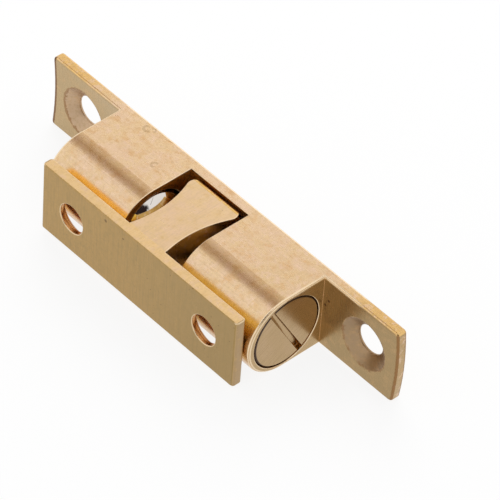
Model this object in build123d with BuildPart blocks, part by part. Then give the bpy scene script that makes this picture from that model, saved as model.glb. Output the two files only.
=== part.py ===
"""A double ball catch in solid brass, with its strike engaged.

The body is a mounting plate with a half-round barrel on its front. The barrel is bored from both ends
and cut through in the middle. Each bore holds a steel ball, a spring and an adjusting screw. The
strike's tongue stands in the gap, held at its waist between the two balls.

Millimetres. X runs along the catch, +Y points out of the back of the mounting plate and +Z up.
The origin is on the mounting face, midway between the two fixing holes.
"""

from build123d import *
from math import sqrt
import os

# Body
plate_length = 66.0
plate_thickness = 1.65
body_height = 12.0
end_curve_radius = 45.0      # both ends of the plate are cut to one curve, hollow left and full right
barrel_length = 39.5
barrel_shift = -0.4          # the barrel's middle, along X from the plate's middle
barrel_depth = 14.1          # from the mounting face to the nose
gap_width = 10.9
end_chamfer = 0.25           # round the barrel's outer ends
edge_break = 0.25            # round the ends of the plate
corner_radius = 0.6          # at the plate's four corners

# Bores, the same at both ends
bore_axis_depth = 7.65       # from the mounting face
thread_radius = 5.5
thread_length = 6.0
ball_radius = 5.25
ball_clearance = 0.1         # between a ball and its bore
lip_overlap = 0.15           # what the lip at the gap takes off the ball's radius
lip_thickness = 0.5

# Fixing holes in the body's lugs
hole_spacing = 54.0
hole_radius = 2.15
countersink_radius = 3.85
countersink_angle = 105.0

# Strike
strike_length = 37.2
strike_thickness = 1.6
strike_height = 11.2
strike_shift = 0.4           # along X from the barrel's middle
strike_lift = 0.3            # above the body's mid-height
nose_clearance = 0.1         # between the strike plate and the barrel's nose
tip_clearance = 0.2          # between the tongue's tip and the mounting plate
strike_end_radius = 0.45
strike_edge_radius = 0.15    # along the plate's front edges
strike_hole_spacing = 25.5
strike_hole_radius = 2.2
strike_countersink_radius = 3.25
waist_width = 5.94
waist_distance = 4.0         # from the strike plate to the waist
flank_radius = 16.5
tip_corner_radius = 1.4
tip_round = 0.9              # top and bottom of the tip's end
contact_clearance = 0.05     # between touching pieces that move apart

# Adjusting screws
screw_clearance = 0.05
screw_length = 4.0
screw_setback = 0.1          # of the face inside the barrel's end
screw_chamfer = 0.2
screw_floor = 1.4            # brass left between the face and the spring's cup
cup_radius = 4.2
slot_width = 0.85
slot_depth = 0.7
slot_angles = {"left": -20.0, "right": 30.0}   # turned anticlockwise from upright, seen from outside

# Springs, each with one closed turn at both ends
wire_radius = 0.3
wire_flats = 6               # round the wire, which is round on the real spring
coil_radius = 3.4
active_turns = 2
closed_turn_gap = 0.05       # between a closed turn's wire and the next

# Places that follow from the sizes above
nose_axis_depth = barrel_depth - body_height / 2
bore_radius = ball_radius + ball_clearance
lip_radius = ball_radius - lip_overlap
end_hollow = end_curve_radius - sqrt(end_curve_radius**2 - (body_height / 2) ** 2)
strike_back = -(barrel_depth + nose_clearance)
strike_front = strike_back - strike_thickness
tip_y = -(plate_thickness + tip_clearance)
waist_y = strike_back + waist_distance
flank_x = waist_width / 2 + flank_radius
ball_reach = flank_x - sqrt(
    (flank_radius - ball_radius - contact_clearance) ** 2 - (bore_axis_depth + waist_y) ** 2
)
strike_x = barrel_shift + strike_shift
strike_bottom = strike_lift - strike_height / 2
sides = {"left": -1, "right": 1}


def cross_plane(side, depth):
    """The plane across a bore this deep inside its end, looking out of the left (-1) or right (1)."""
    x = barrel_shift + side * (barrel_length / 2 - depth)
    return Plane(origin=(x, -bore_axis_depth, 0), x_dir=(0, side, 0), z_dir=(side, 0, 0))


def ball_x(side):
    return strike_x + side * ball_reach


def flank_half_width(y):
    """Half the tongue's width at this Y, before its tip is rounded."""
    return flank_x - sqrt(flank_radius**2 - (y - waist_y) ** 2)


with BuildPart() as body:
    with BuildSketch(Plane.YZ.offset(barrel_shift - barrel_length / 2)):
        with Locations((-nose_axis_depth, 0)):
            Circle(body_height / 2)
            Rectangle(nose_axis_depth - plate_thickness, body_height, align=(Align.MIN, Align.CENTER))
    extrude(amount=barrel_length)
    barrel_end_edges = body.faces().filter_by(Axis.X).edges()
    plate_side = barrel_end_edges.group_by(Axis.Y)[-1]
    chamfer(barrel_end_edges - plate_side, end_chamfer)

    with BuildSketch(Plane.XZ) as plate_outline:
        left, right, top = -plate_length / 2, plate_length / 2, body_height / 2
        with BuildLine():
            ThreePointArc((left - end_hollow, -top), (left, 0), (left - end_hollow, top))
            Line((left - end_hollow, top), (right - end_hollow, top))
            ThreePointArc((right - end_hollow, top), (right, 0), (right - end_hollow, -top))
            Line((right - end_hollow, -top), (left - end_hollow, -top))
        make_face()
        fillet(plate_outline.vertices(), corner_radius)
    extrude(amount=plate_thickness)
    plate_end_edges = body.faces().group_by(Axis.X)[0].edges() + body.faces().group_by(Axis.X)[-1].edges()
    chamfer(plate_end_edges.filter_by(Axis.Y, reverse=True), edge_break)

    with BuildSketch(Plane.XZ.offset(plate_thickness)):
        with Locations((barrel_shift, 0)):
            Rectangle(gap_width, body_height)
    extrude(amount=barrel_depth, mode=Mode.SUBTRACT)

    for side in sides.values():
        bore_length = (barrel_length - gap_width) / 2 - lip_thickness
        with BuildSketch(cross_plane(side, 0)):
            Circle(thread_radius)
        extrude(amount=-thread_length, mode=Mode.SUBTRACT)
        with BuildSketch(cross_plane(side, 0)):
            Circle(bore_radius)
        extrude(amount=-bore_length, mode=Mode.SUBTRACT)
        with BuildSketch(cross_plane(side, 0)):
            Circle(lip_radius)
        extrude(amount=-barrel_length / 2, mode=Mode.SUBTRACT)

    with Locations(Plane.XZ.offset(plate_thickness)):
        with GridLocations(hole_spacing, 1, 2, 1):
            CounterSinkHole(hole_radius, countersink_radius, counter_sink_angle=countersink_angle)
body.part.label = "body"

with BuildPart() as strike:
    with BuildSketch(Plane.XY.offset(strike_bottom)) as plan:
        with Locations((strike_x, strike_front)):
            Rectangle(strike_length, strike_thickness, align=(Align.CENTER, Align.MIN))
        fillet(plan.vertices(), strike_end_radius)
        root, waist, tip = flank_half_width(strike_back), waist_width / 2, flank_half_width(tip_y)
        with BuildLine():
            ThreePointArc((strike_x - root, strike_back), (strike_x - waist, waist_y), (strike_x - tip, tip_y))
            Line((strike_x - tip, tip_y), (strike_x + tip, tip_y))
            ThreePointArc((strike_x + tip, tip_y), (strike_x + waist, waist_y), (strike_x + root, strike_back))
            Line((strike_x + root, strike_back), (strike_x - root, strike_back))
        make_face()
        fillet(plan.vertices().group_by(Axis.Y)[-1], tip_corner_radius)
    extrude(amount=strike_height)
    with BuildSketch(Plane.YZ) as side_view:
        with Locations((strike_front, strike_bottom)):
            Rectangle(tip_y - strike_front, strike_height, align=(Align.MIN, Align.MIN))
        fillet(side_view.vertices().group_by(Axis.X)[-1], tip_round)
        fillet(side_view.vertices().group_by(Axis.X)[0], strike_edge_radius)
    extrude(amount=strike_length, both=True, mode=Mode.INTERSECT)
    strike_inside = Plane((strike_x, strike_back, strike_lift), x_dir=(1, 0, 0), z_dir=(0, 1, 0))
    with Locations(strike_inside):
        with GridLocations(strike_hole_spacing, 1, 2, 1):
            CounterSinkHole(
                strike_hole_radius, strike_countersink_radius, counter_sink_angle=countersink_angle
            )
strike.part.label = "strike"

os.makedirs("parts", exist_ok=True)
export_step(body.part, "parts/body.step")
export_step(strike.part, "parts/strike.step")

for name, side in sides.items():
    with BuildPart() as ball:
        with Locations((ball_x(side), -bore_axis_depth, 0)):
            Sphere(ball_radius)
    ball.part.label = f"ball_{name}"
    export_step(ball.part, f"parts/ball_{name}.step")

    with BuildPart() as screw:
        with BuildSketch(cross_plane(side, screw_setback)):
            Circle(thread_radius - screw_clearance)
        extrude(amount=-screw_length)
        chamfer(screw.edges(), screw_chamfer)
        with BuildSketch(cross_plane(side, screw_setback + screw_length)):
            Circle(cup_radius)
        extrude(amount=screw_length - screw_floor, mode=Mode.SUBTRACT)
        with BuildSketch(cross_plane(side, screw_setback)):
            Rectangle(slot_width, 2 * thread_radius, rotation=slot_angles[name])
        extrude(amount=-slot_depth, mode=Mode.SUBTRACT)
    screw.part.label = f"adjusting_screw_{name}"
    export_step(screw.part, f"parts/adjusting_screw_{name}.step")

    cup_floor_x = barrel_shift + side * (barrel_length / 2 - screw_setback - screw_floor)
    outer_turn_x = cup_floor_x - side * (wire_radius + contact_clearance)
    wire_to_ball = ball_radius + wire_radius + contact_clearance
    inner_turn_x = ball_x(side) + side * sqrt(wire_to_ball**2 - coil_radius**2)
    closed_rise = wire_radius + closed_turn_gap / 2
    active_rise = (abs(outer_turn_x - inner_turn_x) - 4 * closed_rise) / (2 * active_turns)
    half_turn_rises = [closed_rise] * 2 + [active_rise] * (2 * active_turns) + [closed_rise] * 2
    with BuildPart() as spring:
        with BuildLine() as wire:
            x, across = inner_turn_x, coil_radius
            for rise in half_turn_rises:
                start = (x, across - bore_axis_depth, 0)
                end = (x + side * rise, -across - bore_axis_depth, 0)
                TangentArc(start, end, tangent=(0, 0, side * across))
                x, across = x + side * rise, -across
        with BuildSketch(Plane(origin=wire.line @ 0, z_dir=wire.line % 0)):
            RegularPolygon(wire_radius, wire_flats)
        sweep(path=wire.line)
    spring.part.label = f"spring_{name}"
    export_step(spring.part, f"parts/spring_{name}.step")
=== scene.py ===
"""Looks of a solid brass double ball catch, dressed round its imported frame.

Metres, in the frame's own place: X along the catch, the mounting face at Y = 0 and Z up.
The materials count in millimetres, so that a scratch or a pit is written at its real size.
"""

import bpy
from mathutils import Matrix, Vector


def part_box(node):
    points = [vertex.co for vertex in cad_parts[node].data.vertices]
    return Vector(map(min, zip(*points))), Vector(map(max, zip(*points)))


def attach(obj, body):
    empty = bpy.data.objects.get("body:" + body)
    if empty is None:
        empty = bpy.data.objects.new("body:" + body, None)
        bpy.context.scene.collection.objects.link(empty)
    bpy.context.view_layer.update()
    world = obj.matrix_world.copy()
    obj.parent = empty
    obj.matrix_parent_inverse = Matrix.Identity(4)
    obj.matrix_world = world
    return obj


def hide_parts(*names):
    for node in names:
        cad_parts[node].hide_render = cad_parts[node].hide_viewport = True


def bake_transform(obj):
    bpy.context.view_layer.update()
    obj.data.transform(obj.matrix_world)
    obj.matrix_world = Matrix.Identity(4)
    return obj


bl_info = {
    "name": "Ball Catch Finishes",
    "version": (1, 0, 0),
    "blender": (4, 5, 0),
    "location": "View3D > Sidebar > Ball Catch",
    "description": "Dresses a double ball catch in brass and steel and sets up its stage",
    "category": "Object",
}

from functools import reduce
from math import pi, radians
from typing import NamedTuple

import bmesh
import bpy
from bpy.props import FloatProperty, FloatVectorProperty, IntProperty, PointerProperty
from mathutils import Matrix, Quaternion, Vector

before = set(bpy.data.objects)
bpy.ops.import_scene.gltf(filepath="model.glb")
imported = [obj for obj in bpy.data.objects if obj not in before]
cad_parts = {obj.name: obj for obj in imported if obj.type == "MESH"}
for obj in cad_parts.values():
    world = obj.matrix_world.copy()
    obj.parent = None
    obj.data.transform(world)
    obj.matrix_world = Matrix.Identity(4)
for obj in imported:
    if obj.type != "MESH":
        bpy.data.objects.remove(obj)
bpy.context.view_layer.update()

MM = 0.001
WELD_DISTANCE = 0.001 * MM
WIRE_SIDES = 16                  # of the ring that each spring's wire is wound from
WHITE = (1.0, 1.0, 1.0, 1.0)
SIDES = {"left": -1, "right": 1}

floor_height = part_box("body")[0].z
bore_axis = (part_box("ball_left")[0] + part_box("ball_left")[1]) / 2

# Places on the body and its screws, in millimetres, by which the finishes tell one face from another
CRISP = 0.05                     # soft border of a mask that stops at an edge
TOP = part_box("body")[1].z / MM
SCREW_SETBACK = 0.1              # of a screw's face inside the barrel's end
SCREW_RADIUS = 5.45
SCREW_CHAMFER = 0.2
BARREL_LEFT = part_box("adjusting_screw_left")[0].x / MM - SCREW_SETBACK
BARREL_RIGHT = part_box("adjusting_screw_right")[1].x / MM + SCREW_SETBACK
BARREL_ENDS = {"left": BARREL_LEFT, "right": BARREL_RIGHT}
BARREL_MIDDLE = (BARREL_LEFT + BARREL_RIGHT) / 2
BARREL_HALF = (BARREL_RIGHT - BARREL_LEFT) / 2
GAP_HALF = 5.45
GAP_LEFT = BARREL_MIDDLE - GAP_HALF
GAP_RIGHT = BARREL_MIDDLE + GAP_HALF
BORE_Y = bore_axis.y / MM
BORE_MOUTH = 5.5                 # radius
THREAD_PITCH = 1.0               # the screws advance this far in a turn
LUG_FACE = -1.65                 # Y of the lugs' milled faces
LUG_HOLE_X = 27.0                # of both holes, to the left and to the right
COUNTERSINK = 3.85               # radius
PLATE_HALF = 33.0                # half the plate's length, along its middle
END_CURVE = 45.0                 # radius of the plate's ends, one hollow and one full
NOSE_Y = -8.1                    # where the top turns into the nose
NOSE_KINK = 0.087                # slope with which the nose leaves the top
NOSE_FALL = 2.0                  # how far along Y that slope takes to die out

# Turn about X of the tool's lines on each screw's face, which run square to its slot
FACING_TURNS = {"left": radians(-20), "right": radians(29)}

# Places on the strike, in millimetres
strike_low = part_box("strike")[0] / MM
strike_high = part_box("strike")[1] / MM
strike_middle = (strike_low + strike_high) / 2
STRIKE_THICKNESS = 1.6
STRIKE_FRONT = strike_low.y
STRIKE_BACK = STRIKE_FRONT + STRIKE_THICKNESS
STRIKE_HALF = (strike_high.x - strike_low.x) / 2
STRIKE_HOLE_X = 12.75            # of both holes, to the left and to the right
STRIKE_HOLE = 2.2                # radius
STRIKE_COUNTERSINK = 3.25        # radius
STRIKE_CUT_DEPTH = 0.8           # of the countersinks
TONGUE_TIP = strike_high.y
TIP_ROUND = 0.9                  # radius of the tip, top and bottom

# Marks of use, in millimetres

# The middle of a C-shaped nick, its radius and the X and Y direction that it opens to
NICKS = (
    ((-14.95, -1.25, TOP), 0.5, (0.6, 0.8)),
    ((-9.3, -5.0, TOP), 0.42, (1.0, 0.0)),
    ((-14.2, -0.85, TOP), 0.3, (-0.5, -0.8)),
)
# The ends of a scratch on the top face, in X and Y, and its width
SCRATCHES = (
    ((-8.65, -3.55), (-7.5, -0.63), 0.07),
    ((-11.9, -0.75), (-10.9, -0.5), 0.12),
    ((-16.5, -3.4), (-15.9, -2.2), 0.05),
)
# The middle of a dark spot, the radius where it fades out and the radius of its core
BODY_SPOTS_AND_CORNER_SHADE = (
    # The first two darken the corner beside the barrel's right end: painted shade; the third is a dark spot
    ((20.4, LUG_FACE, 2.46), 0.28, 0.12),
    ((19.8, LUG_FACE, 1.4), 0.3, 0.1),
    ((-33.2, LUG_FACE, 5.6), 0.5, 0.25),
)
STRIKE_SPOTS = (
    ((-6.2, STRIKE_FRONT, 5.0), 0.35, 0.12),
    ((-2.8, STRIKE_FRONT, 4.4), 0.2, 0.1),
)


# Shader maths


class Signal:
    """A node's output, so that shader maths is written as Python expressions."""

    def __init__(self, nodes, socket):
        self.nodes = nodes
        self.socket = socket

    def maths(self, operation, *values):
        return self.nodes.node("ShaderNodeMath", {"operation": operation}, dict(enumerate(values)))

    def __add__(self, other):
        return self.maths("ADD", self, other)

    __radd__ = __add__

    def __sub__(self, other):
        return self.maths("SUBTRACT", self, other)

    def __rsub__(self, other):
        return self.maths("SUBTRACT", other, self)

    def __mul__(self, other):
        return self.maths("MULTIPLY", self, other)

    __rmul__ = __mul__

    def __truediv__(self, other):
        return self.maths("DIVIDE", self, other)

    def __pow__(self, other):
        return self.maths("POWER", self, other)

    def __abs__(self):
        return self.maths("ABSOLUTE", self)

    def root(self):
        return self.maths("SQRT", self)

    def diagonal(self, other):
        """The distance that this one and another, square to it, add up to."""
        return (self**2.0 + other**2.0).root()

    def at_least(self, other):
        return self.maths("MAXIMUM", self, other)

    def at_most(self, other):
        return self.maths("MINIMUM", self, other)

    def rise(self, low, high):
        """0 up to low and 1 from high, smoothly between; it falls where low is the larger."""
        reach = {"Value": self, "From Min": low, "From Max": high}
        return self.nodes.node("ShaderNodeMapRange", {"interpolation_type": "SMOOTHSTEP"}, reach)

    def near(self, value, reach):
        """1 at a value, falling to 0 this far from it."""
        return abs(self - value).rise(reach, reach / 2)

    def within(self, low, high, soft=0.1):
        """1 between two values, falling to 0 this far outside them."""
        return self.rise(low - soft, low) * self.rise(high + soft, high)

    def also(self, name):
        """Another output of the same node."""
        return Signal(self.nodes, self.socket.node.outputs[name])


def strongest(masks):
    """The highest of several masks, place by place."""
    return reduce(Signal.at_least, masks)


class Nodes:
    """The node tree of a material or of the world, built node by node."""

    def __init__(self, tree):
        self.tree = tree

    def node(self, kind, settings=None, inputs=None, output=0):
        """A node of any kind, with its settings first and then its sockets' values or links."""
        made = self.tree.nodes.new(kind)
        for name, value in (settings or {}).items():
            setattr(made, name, value)
        by_identifier = {socket.identifier: socket for socket in made.inputs}
        for name, value in (inputs or {}).items():
            self.feed(by_identifier[name] if name in by_identifier else made.inputs[name], value)
        return Signal(self, made.outputs[output])

    def feed(self, socket, value):
        if isinstance(value, Signal):
            self.tree.links.new(value.socket, socket)
        else:
            socket.default_value = value


class Finish(Nodes):
    """One material. Its x, y and z are the object's own coordinates in millimetres."""

    def __init__(self, name):
        self.material = bpy.data.materials.new(name)
        self.material.use_nodes = True
        super().__init__(self.material.node_tree)
        self.shader = self.tree.nodes["Principled BSDF"]
        place = self.node("ShaderNodeTexCoord", output="Object")
        enlarged = {"Vector": place, "Scale": 1 / MM}
        self.place = self.node("ShaderNodeVectorMath", {"operation": "SCALE"}, enlarged)
        self.x = self.node("ShaderNodeSeparateXYZ", None, {"Vector": self.place})
        self.y = self.x.also("Y")
        self.z = self.x.also("Z")

    def set(self, **sockets):
        """Values or links for the shader's own sockets, such as Base_Color."""
        for name, value in sockets.items():
            self.feed(self.shader.inputs[name.replace("_", " ")], value)

    def mix(self, amount, first, second):
        """The first colour, turning into the second as the amount rises."""
        colours = {"Factor_Float": amount, "A_Color": first, "B_Color": second}
        return self.node("ShaderNodeMix", {"data_type": "RGBA"}, colours, output=2)

    def noise(self, scale, detail=2.0, roughness=0.5, offset=0.0, turn=0.0):
        """Noise with this many waves a millimetre along x, y and z, turned about X by an angle."""
        place = self.place
        if turn:
            turned = {"Vector": place, "Angle": -turn}
            place = self.node("ShaderNodeVectorRotate", {"rotation_type": "X_AXIS"}, turned)
        spread = {"Vector": place, "Scale": scale, "Location": (offset,) * 3}
        stretched = self.node("ShaderNodeMapping", None, spread)
        reach = {"Vector": stretched, "Scale": 1.0, "Detail": detail, "Roughness": roughness}
        return self.node("ShaderNodeTexNoise", None, reach)

    def specks(self, spacing, radius, share, offset=0.0):
        """1 in round specks, by their spacing and radius in mm and the share of places that has one."""
        spread = {"Vector": self.place, "Scale": (1 / spacing,) * 3, "Location": (offset,) * 3}
        moved = self.node("ShaderNodeMapping", None, spread)
        away = self.node("ShaderNodeTexVoronoi", None, {"Vector": moved, "Scale": 1.0})
        chance = self.node("ShaderNodeSeparateColor", None, {"Color": away.also("Color")})
        size = radius / spacing
        return away.rise(size, size * 0.4) * chance.rise(1 - share, 1 - share + 0.01)

    def from_point(self, point):
        """How far the surface is from a point, in millimetres."""
        ends = {0: self.place, 1: point}
        return self.node("ShaderNodeVectorMath", {"operation": "DISTANCE"}, ends, "Value")

    def along(self, direction):
        """How far the surface lies along a direction, in millimetres."""
        both = {0: self.place, 1: direction}
        return self.node("ShaderNodeVectorMath", {"operation": "DOT_PRODUCT"}, both, "Value")

    def spots(self, places):
        """1 in round spots, each given by its middle, where it fades out and the radius of its core."""
        return strongest(self.from_point(middle).rise(fades, core) for middle, fades, core in places)

    def nick(self, point, radius, gap_towards):
        """A C-shaped ring on a flat face, open on the side that an X and Y direction points to."""
        ring = self.from_point(point).near(radius, radius * 0.55)
        opening = (self.x - point[0]) * gap_towards[0] + (self.y - point[1]) * gap_towards[1]
        return ring * opening.rise(radius * 0.8, radius * 0.2)

    def scratch(self, start, end, width):
        """A straight scratch on the top face, between two X and Y places."""
        run = Vector(end) - Vector(start)
        along = run.normalized()
        x, y = self.x - start[0], self.y - start[1]
        beside = x * along.y - y * along.x
        return beside.near(0.0, width) * (x * along.x + y * along.y).within(0.0, run.length, run.length / 3)

    def thread_wave(self):
        """A right-hand thread round the bores' axis: 1 along its crest and 0 along its root."""
        turn = self.z.maths("ARCTAN2", self.z, self.y - BORE_Y) / (2 * pi)
        climb = self.x / THREAD_PITCH - turn
        return 1.0 - abs(climb.maths("FRACT", climb) * 2.0 - 1.0)

    def attribute(self, name):
        """A number that the mesh itself carries."""
        return self.node("ShaderNodeAttribute", {"attribute_name": name}, None, "Fac")

    def cover(self, share, under, colour, strength=1.0):
        """Shows a plain glow in place of another shader, as far as the share says."""
        glow = self.node("ShaderNodeEmission", None, {"Color": colour, "Strength": strength})
        shown = self.node("ShaderNodeMixShader", None, {0: share, 1: under, 2: glow})
        self.feed(self.tree.nodes["Material Output"].inputs["Surface"], shown)

    def relief(self, height, depth):
        """Bumps as deep as this many millimetres where the height is 1."""
        reach = {"Height": height, "Distance": depth * MM, "Strength": 1.0}
        return self.node("ShaderNodeBump", None, reach)


# Finishes


def body_brass(look):
    """Drawn brass, milled on the lugs and in the gap, with the marks of use that the body carries."""
    finish = Finish("body_brass")
    x, y, z = finish.x, finish.y, finish.z
    finish.set(Metallic=1.0)

    # Masks of the faces and features
    barrel = x.within(BARREL_LEFT, BARREL_RIGHT, CRISP)
    lug = abs(x - BARREL_MIDDLE).rise(BARREL_HALF + 1.0, BARREL_HALF + 8.0)
    lug_face = y.near(LUG_FACE, 0.12) * (1.0 - barrel) * abs(z).rise(TOP - 0.02, TOP - 0.12)
    top = z.rise(TOP - 0.2, TOP - 0.1)
    nose = y.rise(NOSE_Y - 1.5, NOSE_Y - 3.0)
    in_gap = x.within(GAP_LEFT, GAP_RIGHT, CRISP) * y.rise(LUG_FACE + 0.1, LUG_FACE)
    in_bore = (y - BORE_Y).diagonal(z).rise(BORE_MOUTH + 0.03, BORE_MOUTH)
    in_bore = in_bore * x.within(BARREL_LEFT + 0.2, BARREL_RIGHT - 0.2)
    between_ends = x.within(BARREL_LEFT + 0.15, BARREL_RIGHT - 0.15, CRISP)
    barrel_end = (1.0 - between_ends) * y.rise(LUG_FACE, LUG_FACE - 0.1)
    from_hole = (abs(x) - LUG_HOLE_X).diagonal(z)
    in_plate = y.within(LUG_FACE + 0.04, -0.06, 0.04)
    countersink = from_hole.rise(COUNTERSINK + CRISP, COUNTERSINK) * in_plate
    hollow = END_CURVE - (END_CURVE**2 - z * z).root()
    from_end = PLATE_HALF - abs(x) - hollow * x.maths("SIGN", x)
    plate_end = from_end.rise(0.06, 0.02)

    # Grain and clouds
    along = finish.noise((0.25, 6.0, 6.0), detail=5.0)
    rolled = finish.noise((5.0, 0.35, 3.0), detail=4.0, offset=3.0)
    upright = finish.noise((6.0, 5.0, 0.22), detail=4.0, offset=5.0)
    faced = finish.noise((1.0, 0.3, 7.0), detail=4.0, offset=9.0, turn=FACING_TURNS["right"])
    clouds = finish.noise((0.28, 0.35, 0.35), detail=4.0, offset=7.0)
    warm = finish.noise((0.5, 0.8, 0.8), detail=5.0, roughness=0.65, offset=13.0)
    mottle = finish.noise((3.0, 3.0, 3.0), detail=3.0, offset=19.0)
    patches = finish.noise((1.1, 1.1, 1.1), detail=5.0, roughness=0.6, offset=41.0)

    streaks = along * 0.6 + rolled * 0.4
    streaks = streaks + lug_face * (upright - streaks)
    streaks = streaks + barrel_end * (faced - streaks)

    # Each face's brass: its own finish, with painted shade on the faces that don't face up, on the nose and
    # towards the right
    colour = finish.mix(clouds.rise(0.35, 0.7) * 0.6, look.skin_colour, look.veil_colour)
    colour = finish.mix(lug, colour, look.lug_colour)
    # Darker towards the right and on the nose: painted shade
    colour = finish.mix(x.rise(0.0, 20.0).at_least(nose) * 0.12, colour, look.tarnish_and_shade_colour)
    # The milled faces: partly their milled finish, partly painted shade, and darker towards the right with
    # painted shade
    milled = finish.mix(x.rise(-25.0, 25.0) * 0.9, look.milled_and_shaded_colour, look.tarnish_and_shade_colour)
    colour = finish.mix(lug_face, colour, milled)
    # The ends: partly their ground finish, partly painted shade
    colour = finish.mix(barrel_end.at_least(plate_end), colour, look.end_finish_and_shade_colour)
    # The right countersink darker than the left: painted shade
    cut = finish.mix(x.rise(-5.0, 5.0), look.cut_colour, look.shaded_right_cut_colour)
    colour = finish.mix(countersink, colour, cut)

    # Stains over it, with rims round the countersinks, and the browner inside
    own_skin = 1.0 - lug_face.at_least(barrel_end).at_least(countersink)
    colour = finish.mix(warm.rise(0.48, 0.75) * (0.3 + own_skin * 0.4), colour, look.stain_colour)
    colour = finish.mix(patches.rise(0.5, 0.65) * own_skin * 0.6, colour, look.veil_colour)
    colour = finish.mix(patches.rise(0.47, 0.33) * (0.15 + own_skin * 0.25), colour, look.stain_colour)
    colour = finish.mix(mottle.rise(0.48, 0.72) * (0.2 + lug * 0.2), colour, look.tarnish_and_shade_colour)
    colour = finish.mix(streaks.rise(0.45, 0.75) * 0.25, colour, look.tarnish_and_shade_colour)
    ragged_rim = (from_hole + (mottle - 0.5) * 0.9).near(COUNTERSINK, 0.22)
    left_of_hole = x.rise(-LUG_HOLE_X + 1.0, -LUG_HOLE_X - 1.0)
    rim = ragged_rim * lug_face.at_least(countersink) * (patches + left_of_hole * 0.5).rise(0.45, 0.65)
    colour = finish.mix(rim * 0.65, colour, look.rust_colour)
    inside = finish.mix(mottle.rise(0.4, 0.7) * 0.5, look.inside_colour, look.pit_colour)
    colour = finish.mix(in_gap.at_least(in_bore), colour, inside)

    # Pits, nicks and scratches, and the brown lines along the plate's ends
    end_pits = finish.specks(spacing=0.45, radius=0.07, share=0.45, offset=2.0)
    end_pits = end_pits * x.near(BARREL_LEFT + 0.7, 0.9) * z.rise(TOP - 1.0, TOP - 0.5)
    pits = finish.specks(spacing=1.1, radius=0.06, share=0.3).at_least(end_pits)
    nicks = strongest(finish.nick(*nick) for nick in NICKS) * top
    scratches = strongest(finish.scratch(*scratch) for scratch in SCRATCHES) * top
    colour = finish.mix(scratches * 0.4, colour, look.stain_colour)
    colour = finish.mix(nicks * 0.35, colour, look.tarnish_and_shade_colour)
    colour = finish.mix(pits * 0.65, colour, look.pit_colour)
    frayed = (mottle - 0.5) * 0.25
    line_width = x.rise(1.0, -1.0) * 0.36 + 0.22
    end_line = (from_end + frayed - line_width).rise(0.08, 0.0)
    end_line = end_line * y.rise(LUG_FACE + 0.32, LUG_FACE + 0.26)
    back_line = (y + frayed).near(-0.35, 0.12) * plate_end

    # Edges, bright on the barrel and beside it with wear and painted highlight, and brown elsewhere
    edge = finish.attribute("edge")
    near_countersink = from_hole.rise(COUNTERSINK + 0.55, COUNTERSINK + 0.35)
    wear_and_highlight_reach = barrel.at_least(x.within(BARREL_RIGHT, 25.0, 1.5)) * (1.0 - near_countersink)
    colour = finish.mix(edge * wear_and_highlight_reach * 0.75, colour, look.edge_wear_and_highlight_colour)
    dull_edge = edge * (1.0 - wear_and_highlight_reach) * patches.rise(0.35, 0.6) * (0.04 + x.rise(0.0, 1.0) * 0.22)
    colour = finish.mix(dull_edge, colour, look.rust_colour)
    colour = finish.mix(end_line * 0.9, colour, look.rust_colour)
    colour = finish.mix(end_line * x.rise(-30.0, -31.0) * 0.5, colour, look.pit_colour)
    colour = finish.mix(back_line * 0.6, colour, look.rust_colour)
    # Dark spots, and painted shade in the corner beside the barrel's right end
    colour = finish.mix(finish.spots(BODY_SPOTS_AND_CORNER_SHADE), colour, look.pit_colour)

    # Relief, with the slope by which the nose leaves the top
    height = streaks * 0.35 - pits - nicks.at_least(scratches) * 2.0
    height = height + in_gap * mottle * 3.0
    fall = ((NOSE_Y - y) / NOSE_FALL).at_least(0.0).at_most(1.0)
    height = height - (fall * 2.0 - fall * fall) * (NOSE_KINK * NOSE_FALL / 2 / look.grain_depth)
    rough = look.roughness + (streaks - 0.5) * 0.15 + countersink * 0.15 + in_gap * 0.12
    finish.set(Base_Color=colour, Roughness=rough, Normal=finish.relief(height, look.grain_depth))
    return finish.material


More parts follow.
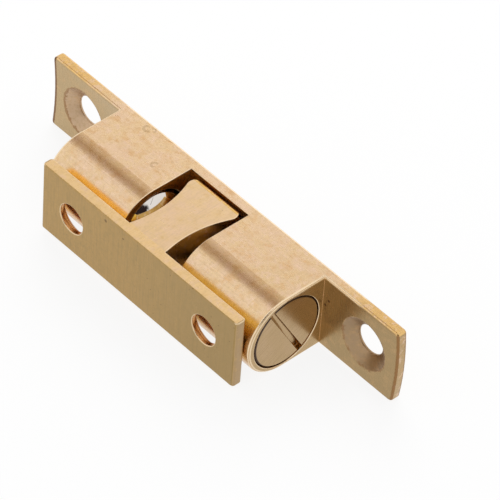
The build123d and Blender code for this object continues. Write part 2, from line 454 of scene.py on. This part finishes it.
def strike_brass(look):
    """Brass brushed upright on the plate's front and along the catch on the tongue."""
    finish = Finish("strike_brass")
    x, y, z = finish.x, finish.y, finish.z
    finish.set(Metallic=1.0)

    # Masks of the faces and holes
    front = y.rise(STRIKE_FRONT + 0.15, STRIKE_FRONT + 0.05)
    plate = y.rise(STRIKE_BACK + CRISP, STRIKE_BACK)
    between_edges = z.within(strike_low.z + 0.1, strike_high.z - 0.1, CRISP)
    back = y.near(STRIKE_BACK, 0.06) * between_edges
    tongue_flank = (1.0 - plate) * between_edges
    tip_start = TONGUE_TIP - TIP_ROUND
    tip_edge = y.rise(tip_start - CRISP, tip_start + CRISP)
    plate_end = abs(x - strike_middle.x).rise(STRIKE_HALF - 0.3, STRIKE_HALF - 0.15)
    from_hole = (abs(x) - STRIKE_HOLE_X).diagonal(z - strike_middle.z)
    bore = from_hole.rise(STRIKE_HOLE + 0.1, STRIKE_HOLE + 0.05)
    countersink = from_hole.rise(STRIKE_COUNTERSINK + CRISP, STRIKE_COUNTERSINK)
    cut_floor = STRIKE_BACK - STRIKE_CUT_DEPTH
    hole = bore.at_least(countersink * y.rise(cut_floor - 0.1, cut_floor))
    hole = hole * y.rise(STRIKE_FRONT + 0.02, STRIKE_FRONT + 0.1)

    # Grain and clouds
    upright = finish.noise((6.0, 1.0, 0.22), detail=4.0, offset=11.0)
    rolled = finish.noise((5.0, 0.4, 3.0), detail=4.0, offset=3.0)
    clouds = finish.noise((0.3, 0.35, 0.35), detail=4.0, offset=17.0)
    mottle = finish.noise((3.0, 3.0, 3.0), detail=3.0, offset=19.0)
    patches = finish.noise((1.1, 1.1, 1.1), detail=5.0, roughness=0.6, offset=43.0)
    streaks = rolled + front * (upright - rolled)

    # Each face's brass: its own finish, with painted shade on the front and ends and a painted glow on the
    # back
    colour = finish.mix(clouds.rise(0.35, 0.7) * 0.6, look.skin_colour, look.veil_colour)
    colour = finish.mix(plate * (1.0 - front), colour, look.plate_colour)
    # The plate's ends: partly their finish, partly painted shade
    colour = finish.mix(plate_end * (1.0 - front), colour, look.end_finish_and_shade_colour)
    # The plate's back: a saturated gold standing in for warm light bouncing between plate and barrel, dimmer
    # to the right: painted glow
    painted_back_glow = finish.mix(x.rise(-5.0, 8.0), look.back_glow_colour, look.back_glow_right_colour)
    colour = finish.mix(back, colour, painted_back_glow)
    # The plate's front: partly its brushed finish, partly painted shade, and darker towards the right with
    # painted shade
    colour = finish.mix(front, colour, look.front_finish_and_shade_colour)
    colour = finish.mix(front * x.rise(-8.0, 18.0) * 0.6, colour, look.tarnish_and_shade_colour)
    colour = finish.mix(tongue_flank.at_least(tip_edge), colour, look.flank_colour)
    colour = finish.mix(hole, colour, look.hole_colour)

    # Stains, pits, and edges bright with wear and painted highlight, over it
    own_skin = 1.0 - front.at_least(back).at_least(hole).at_least(plate_end)
    colour = finish.mix(patches.rise(0.5, 0.65) * own_skin * 0.6, colour, look.veil_colour)
    colour = finish.mix(patches.rise(0.47, 0.33) * (0.25 - front * 0.2), colour, look.flank_colour)
    colour = finish.mix(patches.rise(0.48, 0.35) * front * 0.35, colour, look.tarnish_and_shade_colour)
    colour = finish.mix(patches.rise(0.52, 0.65) * front * 0.12, colour, look.end_finish_and_shade_colour)
    colour = finish.mix(streaks.rise(0.4, 0.75) * (0.12 + front * 0.38), colour, look.tarnish_and_shade_colour)
    colour = finish.mix(mottle.rise(0.45, 0.75) * (0.12 + front * 0.2), colour, look.tarnish_and_shade_colour)
    pits = finish.specks(spacing=1.2, radius=0.07, share=0.35, offset=5.0)
    front_pits = finish.specks(spacing=0.7, radius=0.12, share=0.25, offset=8.0)
    front_pits = front_pits * front * x.rise(-8.0, 2.0)
    pits = strongest((pits, front_pits, finish.spots(STRIKE_SPOTS)))
    colour = finish.mix(pits * 0.65, colour, look.pit_colour)
    colour = finish.mix(finish.attribute("edge") * 0.6, colour, look.edge_wear_and_highlight_colour)
    finish.set(
        Base_Color=colour,
        Roughness=look.roughness + (streaks - 0.5) * 0.15,
        Normal=finish.relief(streaks * 0.35 - pits, look.grain_depth),
    )
    return finish.material


def screw_brass(look, side):
    """Turned brass, with lines square to the slot on its face, a thread on its wall, and painted shade in its
    slot and in the crevice round it.
    """
    finish = Finish(f"screw_brass_{side}")
    finish.set(Metallic=1.0)
    x, y, z = finish.x, finish.y, finish.z
    face = BARREL_ENDS[side] - SIDES[side] * SCREW_SETBACK
    depth = (face - x) * SIDES[side]
    from_axis = (y - BORE_Y).diagonal(z)
    faced = finish.noise((1.0, 0.3, 7.0), detail=4.0, offset=23.0, turn=FACING_TURNS[side])
    clouds = finish.noise((0.5, 0.5, 0.5), detail=4.0, offset=29.0)
    colour = finish.mix(clouds.rise(0.4, 0.7) * 0.5, look.skin_colour, look.veil_colour)
    colour = finish.mix(faced.rise(0.45, 0.75) * 0.45, colour, look.tarnish_and_shade_colour)
    # Darker inside the slot: painted shade
    colour = finish.mix(depth.within(0.1, 0.6, 0.04) * 0.7, colour, look.tarnish_and_shade_colour)
    # The face's edges: wear and painted highlight
    colour = finish.mix(finish.attribute("edge") * depth.rise(0.03, 0.0) * 0.5, colour, look.edge_wear_and_highlight_colour)
    rim = SCREW_RADIUS - SCREW_CHAMFER
    # A near-black ring in the crevice round the screw, reaching further in upwards and forwards: painted
    # shade
    up_and_forwards = z - y + BORE_Y
    crevice_shade = (from_axis + up_and_forwards * look.crevice_shade_lean).rise(rim - 0.1, rim)
    colour = finish.mix(crevice_shade * 0.97, colour, look.crevice_shade_colour)
    wall = from_axis.rise(rim + 0.05, rim + 0.15) * depth.rise(SCREW_CHAMFER + 0.05, SCREW_CHAMFER + 0.15)
    colour = finish.mix(wall * 0.85, colour, look.skin_colour)
    thread = finish.thread_wave() * wall * (look.thread_depth / MM / look.grain_depth)
    finish.set(
        Base_Color=colour,
        Roughness=look.roughness + (faced - 0.5) * 0.15,
        Normal=finish.relief(faced * (1.0 - wall) + thread, look.grain_depth),
    )
    return finish.material


def polished_steel(look):
    """Mirror-bright steel with faint clouds."""
    finish = Finish("polished_steel")
    finish.set(Metallic=1.0)
    clouds = finish.noise((0.6, 0.6, 0.6), detail=3.0, offset=31.0)
    finish.set(
        Base_Color=finish.mix(clouds, look.colour, look.shade_colour),
        Roughness=look.roughness + clouds * 0.04,
    )
    return finish.material


def spring_wire(look):
    """Grey drawn wire with darker streaks."""
    finish = Finish("spring_wire")
    finish.set(Metallic=1.0)
    drawn = finish.noise((4.0, 1.0, 1.0), detail=3.0, offset=37.0)
    finish.set(
        Base_Color=finish.mix(drawn, look.wire_colour, look.wire_shade),
        Roughness=look.wire_roughness + drawn * 0.1,
    )
    return finish.material


# Modelling


def merged_copy(node):
    """A welded copy of a CAD node, with the triangles of its flat faces joined."""
    bm = bmesh.new()
    bm.from_mesh(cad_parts[node].data)
    bmesh.ops.remove_doubles(bm, verts=bm.verts, dist=WELD_DISTANCE)
    bmesh.ops.dissolve_limit(
        bm, angle_limit=radians(0.5), use_dissolve_boundaries=False, verts=bm.verts, edges=bm.edges
    )
    return bm


def soften_edges(bm, width, sharper_than=radians(28)):
    """Rounds outer edges sharper than this and marks them for the finish, and keeps inner corners sharp."""
    worn = bm.faces.layers.float.new("edge")
    folds = {edge: edge.calc_face_angle_signed() for edge in bm.edges if edge.is_manifold}
    for edge, angle in folds.items():
        edge.smooth = angle > -sharper_than
    outer = [edge for edge, angle in folds.items() if angle > sharper_than]
    rounded = bmesh.ops.bevel(
        bm,
        geom=outer,
        offset=width,
        segments=2,
        affect="EDGES",
        profile=0.5,
        material=-1,
        clamp_overlap=False,
    )
    for face in rounded["faces"]:
        face[worn] = 1.0


def piece_from(bm, name, material):
    """The finished mesh as a smooth-shaded object, with its flat faces kept flat by weighted normals."""
    for face in bm.faces:
        face.smooth = True
    mesh = bpy.data.meshes.new(name)
    bm.to_mesh(mesh)
    bm.free()
    mesh.materials.append(material)
    piece = bpy.data.objects.new(name, mesh)
    bpy.context.scene.collection.objects.link(piece)
    normals = piece.modifiers.new("flat faces stay flat", "WEIGHTED_NORMAL")
    normals.keep_sharp = True
    return piece


def stand_for(piece, node):
    """Puts a rigid piece in a CAD node's place, on the body that has the node's name."""
    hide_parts(node)
    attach(piece, node)


def dress_node(node, name, material, edge_width):
    """Makes a piece from a node's own shape, with softened edges, and puts it in the node's place."""
    bm = merged_copy(node)
    soften_edges(bm, edge_width)
    stand_for(piece_from(bm, name, material), node)


def coil(bm, start_x, across, rises, wire_radius, steps):
    """Winds a round wire about the bore's axis, one half turn for each rise along X, and closes its ends."""
    ring = bmesh.ops.create_circle(
        bm,
        segments=WIRE_SIDES,
        radius=wire_radius,
        matrix=Matrix.Translation((start_x, bore_axis.y + across, bore_axis.z)),
    )
    first = list({edge for vert in ring["verts"] for edge in vert.link_edges})
    last = first
    for rise in rises:
        turned = bmesh.ops.spin(
            bm,
            geom=list({vert for edge in last for vert in edge.verts}) + last,
            cent=(start_x, bore_axis.y, bore_axis.z),
            axis=(1, 0, 0),
            dvec=(rise / steps, 0, 0),
            angle=pi,
            steps=steps,
        )
        last = [item for item in turned["geom_last"] if isinstance(item, bmesh.types.BMEdge)]
    bmesh.ops.edgeloop_fill(bm, edges=first)
    bmesh.ops.edgeloop_fill(bm, edges=last)
    bmesh.ops.recalc_face_normals(bm, faces=bm.faces)


def stage_panel(context, name, placed, material):
    """A flat metre square that a matrix stretches and places, as part of the stage."""
    bm = bmesh.new()
    bmesh.ops.create_grid(bm, x_segments=1, y_segments=1, size=0.5, matrix=placed)
    mesh = bpy.data.meshes.new(name)
    bm.to_mesh(mesh)
    bm.free()
    mesh.materials.append(material)
    panel = bpy.data.objects.new(name, mesh)
    context.scene.collection.objects.link(panel)
    return panel


# Settings


def colour_property(name, description, default):
    return FloatVectorProperty(
        name=name, description=description, subtype="COLOR", size=4, min=0.0, max=1.0, default=(*default, 1.0)
    )


def roughness_property(default):
    return FloatProperty(
        name="Roughness", description="How far reflections blur", min=0.0, max=1.0, default=default
    )


def length_property(name, description, millimetres):
    return FloatProperty(name=name, description=description, unit="LENGTH", default=millimetres * MM)


def turn_property(name, description, degrees):
    return FloatProperty(name=name, description=description, unit="ROTATION", default=radians(degrees))


class BallCatchBody(bpy.types.PropertyGroup):
    edge_width: length_property("Edge", "Width of the rounding on the body's edges", 0.11)
    skin_colour: colour_property("Skin", "Brass of the drawn bar's own faces", (0.87, 0.63, 0.375))
    veil_colour: colour_property("Veil", "Paler clouds over the skin", (0.89, 0.64, 0.47))
    lug_colour: colour_property("Lugs", "Yellower brass of the lugs' edges and ends", (0.86, 0.55, 0.21))
    # Partly the milled finish, partly painted shade of faces that don't face up
    milled_and_shaded_colour: colour_property("Milled faces", "Brass of the lugs' milled faces", (0.52, 0.375, 0.20))
    # Partly the ground finish, partly painted shade of faces that don't face up
    end_finish_and_shade_colour: colour_property("Ends", "Brass of the ground ends", (0.54, 0.375, 0.19))
    cut_colour: colour_property("Countersinks", "Pinker brass of the left countersink", (0.60, 0.425, 0.275))
    # The left countersink's brass with painted shade over it
    shaded_right_cut_colour: colour_property(
        "Dull countersink", "Brass of the right countersink", (0.41, 0.28, 0.165)
    )
    inside_colour: colour_property("Inside", "Brass in the gap and the bores", (0.68, 0.31, 0.055))
    # Wear and painted highlight along the edges
    edge_wear_and_highlight_colour: colour_property("Edges", "Bright brass along worn edges", (0.97, 0.78, 0.54))
    stain_colour: colour_property("Stains", "Orange-brown stains and scratches", (0.74, 0.44, 0.20))
    rust_colour: colour_property("Rims", "Brown left along cut edges", (0.30, 0.15, 0.06))
    # Tarnish in clouds and streaks, and also the colour of painted shade
    tarnish_and_shade_colour: colour_property("Tarnish", "Duller brass in clouds and streaks", (0.41, 0.28, 0.13))
    pit_colour: colour_property("Pits", "Dark specks in the skin", (0.14, 0.07, 0.03))
    roughness: roughness_property(0.28)
    grain_depth: FloatProperty(name="Grain depth", description="Depth of the grain in mm", default=0.006)


class BallCatchStrike(bpy.types.PropertyGroup):
    edge_width: length_property("Edge", "Width of the rounding on the strike's edges", 0.13)
    skin_colour: colour_property("Skin", "Brass of the tongue's faces", (0.85, 0.61, 0.345))
    veil_colour: colour_property("Veil", "Paler clouds over the skin", (0.87, 0.62, 0.43))
    plate_colour: colour_property(
        "Plate edges", "Brass of the strike plate's long edges", (0.90, 0.635, 0.335)
    )
    # Partly the ends' finish, partly painted shade of faces that don't face up
    end_finish_and_shade_colour: colour_property("Plate ends", "Brass of the strike plate's ends", (0.47, 0.32, 0.17))
    # Painted glow of warm light bouncing between the plate and the barrel
    back_glow_colour: colour_property("Back", "Golden brass of the plate's back", (0.97, 0.60, 0.10))
    back_glow_right_colour: colour_property("Dull back", "Golden brass at the back's right end", (0.73, 0.51, 0.11))
    # Partly the brushed finish, partly painted shade of a face that doesn't face up
    front_finish_and_shade_colour: colour_property("Front", "Brass of the strike plate's front", (0.475, 0.30, 0.11))
    flank_colour: colour_property("Flanks", "Brass of the tongue's milled flanks and tip", (0.70, 0.44, 0.13))
    hole_colour: colour_property("Holes", "Redder brass of the holes' walls", (0.74, 0.41, 0.16))
    # Wear and painted highlight along the edges
    edge_wear_and_highlight_colour: colour_property("Edges", "Bright brass along worn edges", (0.95, 0.75, 0.50))
    # Tarnish in clouds and streaks, and also the colour of painted shade
    tarnish_and_shade_colour: colour_property("Tarnish", "Duller brass in clouds and streaks", (0.35, 0.24, 0.10))
    pit_colour: colour_property("Pits", "Dark specks in the skin", (0.12, 0.06, 0.02))
    roughness: roughness_property(0.3)
    grain_depth: FloatProperty(name="Grain depth", description="Depth of the grain in mm", default=0.006)


class BallCatchScrews(bpy.types.PropertyGroup):
    edge_width: length_property("Edge", "Width of the rounding on the screws' edges", 0.04)
    thread_depth: length_property("Thread", "Depth of the thread's relief on the screws' walls", 0.3)
    skin_colour: colour_property("Skin", "Brass of the screws", (0.51, 0.35, 0.178))
    veil_colour: colour_property("Veil", "Paler clouds over the skin", (0.56, 0.385, 0.22))
    # Wear and painted highlight along the edges
    edge_wear_and_highlight_colour: colour_property("Edges", "Bright brass along worn edges", (0.85, 0.63, 0.38))
    # Tarnish in streaks, and also the colour of painted shade
    tarnish_and_shade_colour: colour_property("Tarnish", "Duller brass in streaks", (0.34, 0.225, 0.10))
    # Painted shade in the crevice round the screw, and how far it reaches
    crevice_shade_colour: colour_property("Grime", "Black oil round the thread", (0.05, 0.025, 0.015))
    crevice_shade_lean: FloatProperty(
        name="Grime lean",
        description="How much further in the grime reaches, for each mm upwards and forwards",
        default=0.03,
    )
    roughness: roughness_property(0.22)
    grain_depth: FloatProperty(name="Grain depth", description="Depth of the grain in mm", default=0.012)


class BallCatchSteel(bpy.types.PropertyGroup):
    colour: colour_property("Ball", "Steel of the balls", (0.78, 0.73, 0.68))
    shade_colour: colour_property("Ball shade", "Duller steel in clouds", (0.68, 0.64, 0.60))
    roughness: roughness_property(0.04)
    subdivisions: IntProperty(
        name="Fineness", description="Subdivisions of each ball", default=6, min=3, max=7
    )
    wire_colour: colour_property("Wire", "Steel of the springs", (0.45, 0.45, 0.46))
    wire_shade: colour_property("Wire shade", "Darker streaks along the wire", (0.25, 0.25, 0.27))
    wire_roughness: roughness_property(0.3)
    wire_radius: length_property("Wire radius", "Radius of the springs' round wire", 0.29)
    closed_rise: length_property("Closed rise", "How far a closed half turn climbs", 0.325)
    steps: IntProperty(name="Steps", description="Steps in each half turn", default=24, min=8, max=64)


class BallCatchStage(bpy.types.PropertyGroup):
    azimuth: turn_property("Azimuth", "Of the camera, about Z", 44.8)
    elevation: turn_property("Elevation", "Of the camera, above the floor", 44.57)
    roll: turn_property("Roll", "Of the camera, about the way it looks", 4.44)
    distance: length_property("Distance", "From the camera to what it looks at", 528.15)
    aim: FloatVectorProperty(
        name="Aim", description="What the camera looks at", subtype="XYZ", unit="LENGTH",
        default=(3.82 * MM, 0.34 * MM, -2.49 * MM),
    )
    lens: FloatProperty(name="Lens", description="Focal length in mm", default=295.9)
    floor_size: length_property("Floor", "Width of the floor", 4000.0)
    floor_in_metal: FloatProperty(
        name="Floor in metal", description="Brightness of the floor under the catch, as metal reflects it",
        default=1.0,
    )
    floor_slope: FloatProperty(
        name="Floor slope", description="How much brighter metal sees the floor, a millimetre to the left",
        default=0.0025,
    )
    floor_least: FloatProperty(
        name="Floor's least", description="Brightness below which metal never sees the floor", default=0.6
    )
    floor_shadow: FloatProperty(
        name="Shadow",
        description="Share of the floor that is lit by the lamps and so keeps the shadow",
        default=0.14,
    )
    lamp_distance: length_property("Lamp distance", "From the part to the soft lamp", 600.0)
    lamp_power: FloatProperty(name="Lamp power", description="Of the soft lamp, in watts", default=1.3)
    lamp_size: length_property("Lamp size", "Width of the soft lamp", 400.0)
    ambient: FloatProperty(name="Ambient", description="World's light on what isn't shiny", default=0.75)


class BallCatchSettings(bpy.types.PropertyGroup):
    body: PointerProperty(type=BallCatchBody)
    strike: PointerProperty(type=BallCatchStrike)
    screws: PointerProperty(type=BallCatchScrews)
    steel: PointerProperty(type=BallCatchSteel)
    stage: PointerProperty(type=BallCatchStage)


# Cards and lamp of the stage

CARD_DISTANCE = 450 * MM         # from the part to the cards that its metal reflects
LAMP_DIRECTION = Vector((-0.5, 0.5, 0.7)).normalized()


class Card(NamedTuple):
    """A card that only metal sees, square to a direction. Its sizes and its fading border are in mm."""

    name: str
    direction: tuple
    along: tuple                 # the way that its length runs
    length: float
    width: float
    colour: tuple
    fade: float


CARDS = (
    Card("dark_card_over_nose", (-0.5, 0.045, 0.87), (1, 0, 0), 360, 125, (0.29, 0.165, 0.07), 15),
    Card("tan_card_over_top", (-0.5, 0.315, 0.80), (1, 0, 0), 360, 130, (0.73, 0.66, 0.55), 5),
    Card("dark_card_round_camera", (0.54, -0.50, 0.68), (0.7, 0.7, 0), 400, 400, (0.03, 0.02, 0.02), 90),
    Card("thin_dark_card", (0.46, 0.20, 0.85), (-0.19, 0.27, 0.04), 190, 14, (0.3, 0.28, 0.27), 4),
    Card("bright_card_behind", (-0.5, 0.78, 0.38), (1, 0.6, 0), 240, 170, (1.4, 1.4, 1.4), 10),
)


# Operators


class BALLCATCH_OT_body(bpy.types.Operator):
    """Dresses the body: its bar's drawn skin, milled lugs and softened edges"""

    bl_idname = "ballcatch.body"
    bl_label = "Body"

    def execute(self, context):
        look = context.scene.ball_catch.body
        dress_node("body", "bored_body", body_brass(look), look.edge_width)
        return {"FINISHED"}


class BALLCATCH_OT_strike(bpy.types.Operator):
    """Dresses the strike and its tongue"""

    bl_idname = "ballcatch.strike"
    bl_label = "Strike"

    def execute(self, context):
        look = context.scene.ball_catch.strike
        dress_node("strike", "strike_and_tongue", strike_brass(look), look.edge_width)
        return {"FINISHED"}


class BALLCATCH_OT_screws(bpy.types.Operator):
    """Dresses the two adjusting screws"""

    bl_idname = "ballcatch.screws"
    bl_label = "Adjusting screws"

    def execute(self, context):
        look = context.scene.ball_catch.screws
        for side in SIDES:
            brass = screw_brass(look, side)
            dress_node(
                f"adjusting_screw_{side}", f"slotted_screw_{side}", brass, look.edge_width
            )
        return {"FINISHED"}


class BALLCATCH_OT_balls(bpy.types.Operator):
    """Makes the two polished balls finer than the frame's"""

    bl_idname = "ballcatch.balls"
    bl_label = "Balls"

    def execute(self, context):
        look = context.scene.ball_catch.steel
        steel = polished_steel(look)
        for side in SIDES:
            low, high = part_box(f"ball_{side}")
            bm = bmesh.new()
            bmesh.ops.create_icosphere(
                bm,
                subdivisions=look.subdivisions,
                radius=(high.x - low.x) / 2,
                matrix=Matrix.Translation((low + high) / 2),
            )
            stand_for(piece_from(bm, f"steel_ball_{side}", steel), f"ball_{side}")
        return {"FINISHED"}


class BALLCATCH_OT_springs(bpy.types.Operator):
    """Winds each spring in two halves, one from its ball's end and one from its screw's end"""

    bl_idname = "ballcatch.springs"
    bl_label = "Springs"

    def execute(self, context):
        look = context.scene.ball_catch.steel
        wire = spring_wire(look)
        for side, outwards in SIDES.items():
            low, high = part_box(f"spring_{side}")
            coil_radius = (high.y - low.y) / 2 - look.wire_radius
            inner = (low.x if outwards > 0 else high.x) + outwards * look.wire_radius
            outer = (high.x if outwards > 0 else low.x) - outwards * look.wire_radius
            middle = (inner + outer) / 2
            open_rise = (abs(middle - inner) - 2 * look.closed_rise) / 2
            rises = [look.closed_rise] * 2 + [open_rise] * 2
            for name, start, towards, bodies in (
                ("inner", inner, outwards, (f"ball_{side}", "body")),
                ("outer", outer, -outwards, (f"spring_{side}", "body")),
            ):
                bm = bmesh.new()
                coil(bm, start, coil_radius, [towards * rise for rise in rises], look.wire_radius, look.steps)
                piece = piece_from(bm, f"spring_{side}_{name}_turns", wire)
                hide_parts(f"spring_{side}")
                begin = Vector((start + towards * 2 * look.closed_rise, bore_axis.y, bore_axis.z))
                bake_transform(piece)
        return {"FINISHED"}


class BALLCATCH_OT_stage(bpy.types.Operator):
    """Sets up the pale floor, the white background, the soft lamp and the camera"""

    bl_idname = "ballcatch.stage"
    bl_label = "Stage"

    def execute(self, context):
        look = context.scene.ball_catch.stage
        context.scene.view_settings.view_transform = "Standard"
        self.make_floor(context, look)
        self.light_world(context, look)
        self.hang_lamp(context, look)
        for card in CARDS:
            self.hang_card(context, card)
        self.place_camera(context, look)
        return {"FINISHED"}

    def hang_card(self, context, card):
        """Hangs a card that only metal sees, with a ragged border that fades out."""
        outwards = Vector(card.direction).normalized()
        across = outwards.cross(Vector(card.along)).normalized()
        lengthways = across.cross(outwards)
        turn = Matrix((lengthways, across, outwards)).transposed().to_4x4()
        stretch = Matrix.Diagonal((card.length * MM, card.width * MM, 1, 1))
        placed = Matrix.Translation(outwards * CARD_DISTANCE) @ turn @ stretch
        finish = Finish(card.name)
        ragged = (finish.noise((0.02, 0.02, 0.02), detail=4.0) - 0.5) * (card.fade * 1.5)
        spans = [
            (abs(finish.along(way)) + ragged).rise(size / 2, size / 2 - card.fade)
            for way, size in ((lengthways, card.length), (across, card.width))
        ]
        clear = finish.node("ShaderNodeBsdfTransparent")
        finish.cover(spans[0] * spans[1], clear, (*card.colour, 1.0))
        hung = stage_panel(context, card.name, placed, finish.material)
        hung.visible_camera = False
        hung.visible_diffuse = False
        hung.visible_shadow = False
        hung.visible_transmission = False

    def make_floor(self, context, look):
        """Lays a floor that glows white to the camera and to metal, and keeps a share of its shadow."""
        finish = Finish("pale_floor")
        finish.set(Base_Color=WHITE, Roughness=0.9, Specular_IOR_Level=0.0)
        to_camera = finish.node("ShaderNodeLightPath", output="Is Camera Ray")
        in_gloss = to_camera.also("Is Glossy Ray")
        seen = to_camera.at_least(to_camera.also("Is Transmission Ray"))
        in_metal = look.floor_in_metal - finish.x * look.floor_slope
        in_metal = in_metal.at_least(look.floor_least).at_most(1.0)
        share = seen.at_least(in_gloss) * (1 - look.floor_shadow)
        lit = Signal(finish, finish.shader.outputs[0])
        finish.cover(share, lit, WHITE, seen + in_gloss * in_metal)
        stretch = Matrix.Diagonal((look.floor_size, look.floor_size, 1, 1))
        placed = Matrix.Translation((0, 0, floor_height)) @ stretch
        stage_panel(context, "pale_floor", placed, finish.material)

    def light_world(self, context, look):
        """Lights what isn't shiny at the ambient level, and shows white to the camera and to metal."""
        world = bpy.data.worlds.new("white studio")
        world.use_nodes = True
        context.scene.world = world
        nodes = Nodes(world.node_tree)
        to_camera = nodes.node("ShaderNodeLightPath", output="Is Camera Ray")
        in_gloss = to_camera.also("Is Glossy Ray")
        seen = strongest((to_camera, in_gloss, to_camera.also("Is Transmission Ray")))
        background = world.node_tree.nodes["Background"]
        nodes.feed(background.inputs["Color"], WHITE)
        nodes.feed(background.inputs["Strength"], seen * (1 - look.ambient) + look.ambient)

    def hang_lamp(self, context, look):
        """Hangs a soft square lamp that metal doesn't reflect."""
        lamp = bpy.data.lights.new("soft lamp", "AREA")
        lamp.energy = look.lamp_power
        lamp.size = look.lamp_size
        placed = bpy.data.objects.new("soft lamp", lamp)
        placed.visible_glossy = False
        context.scene.collection.objects.link(placed)
        placed.location = LAMP_DIRECTION * look.lamp_distance
        placed.rotation_mode = "QUATERNION"
        placed.rotation_quaternion = LAMP_DIRECTION.to_track_quat("Z", "Y")

    def place_camera(self, context, look):
        """Places the camera by its turns and its distance from what it looks at."""
        lens = bpy.data.cameras.new("camera")
        lens.lens = look.lens
        lens.sensor_width = 36.0
        lens.clip_start = 0.01
        lens.clip_end = 10.0
        camera = bpy.data.objects.new("camera", lens)
        context.scene.collection.objects.link(camera)
        level = Matrix.Rotation(look.azimuth, 3, "Z") @ Matrix.Rotation(-look.elevation, 3, "X")
        back = level @ Vector((0, -1, 0))
        camera.location = Vector(look.aim) + back * look.distance
        camera.rotation_mode = "QUATERNION"
        camera.rotation_quaternion = (-back).to_track_quat("-Z", "Y") @ Quaternion((0, 0, 1), look.roll)
        context.scene.camera = camera


class BALLCATCH_PT_panel(bpy.types.Panel):
    """Lists the catch's pieces in the sidebar"""

    bl_label = "Ball Catch"
    bl_space_type = "VIEW_3D"
    bl_region_type = "UI"
    bl_category = "Ball Catch"

    def draw(self, context):
        for operator in OPERATORS:
            self.layout.operator(operator.bl_idname)


OPERATORS = (
    BALLCATCH_OT_body,
    BALLCATCH_OT_strike,
    BALLCATCH_OT_screws,
    BALLCATCH_OT_balls,
    BALLCATCH_OT_springs,
    BALLCATCH_OT_stage,
)
CLASSES = (
    BallCatchBody,
    BallCatchStrike,
    BallCatchScrews,
    BallCatchSteel,
    BallCatchStage,
    BallCatchSettings,
    *OPERATORS,
    BALLCATCH_PT_panel,
)


def register():
    for made in CLASSES:
        bpy.utils.register_class(made)
    bpy.types.Scene.ball_catch = PointerProperty(type=BallCatchSettings)


def unregister():
    del bpy.types.Scene.ball_catch
    for made in reversed(CLASSES):
        bpy.utils.unregister_class(made)


def main():
    register()
    bpy.ops.ballcatch.body()
    bpy.ops.ballcatch.strike()
    bpy.ops.ballcatch.screws()
    bpy.ops.ballcatch.balls()
    bpy.ops.ballcatch.springs()
    bpy.ops.ballcatch.stage()


if __name__ == "__main__":
    main()
